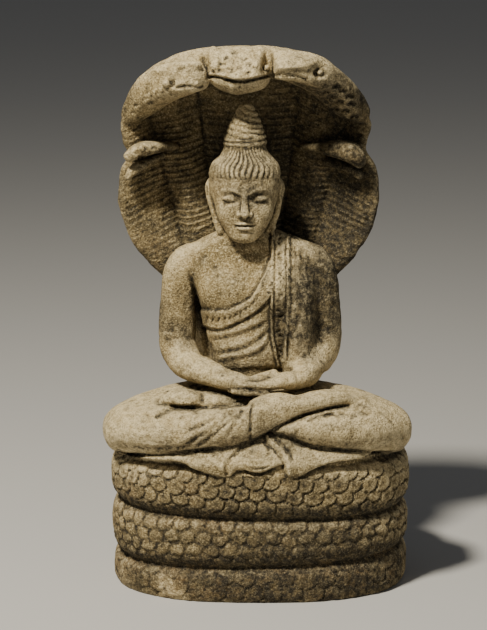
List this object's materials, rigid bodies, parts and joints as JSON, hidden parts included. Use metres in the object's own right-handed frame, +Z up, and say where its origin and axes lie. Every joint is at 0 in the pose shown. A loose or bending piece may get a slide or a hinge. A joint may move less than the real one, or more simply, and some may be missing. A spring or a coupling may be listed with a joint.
{
  "type": "naga buddha statue",
  "caption": "Carved stone buddha seated in meditation on stacked snake coils, sheltered by a multi-headed cobra hood; stands on its flat underside.",
  "frame": {"origin": "middle of the underside, below the middle of the whole stone's box", "axes": "+Z up, -Y the front that the figure faces, +X the viewer's right"},
  "size_m": [0.2586, 0.1732, 0.45],
  "materials": {
    "sandstone": "weathered rough sandstone, beige on the worn ridges and olive brown to dark grey in the hollows"
  },
  "bodies": {
    "root": {"naga_buddha": "sandstone"}
  },
  "joints": []
}
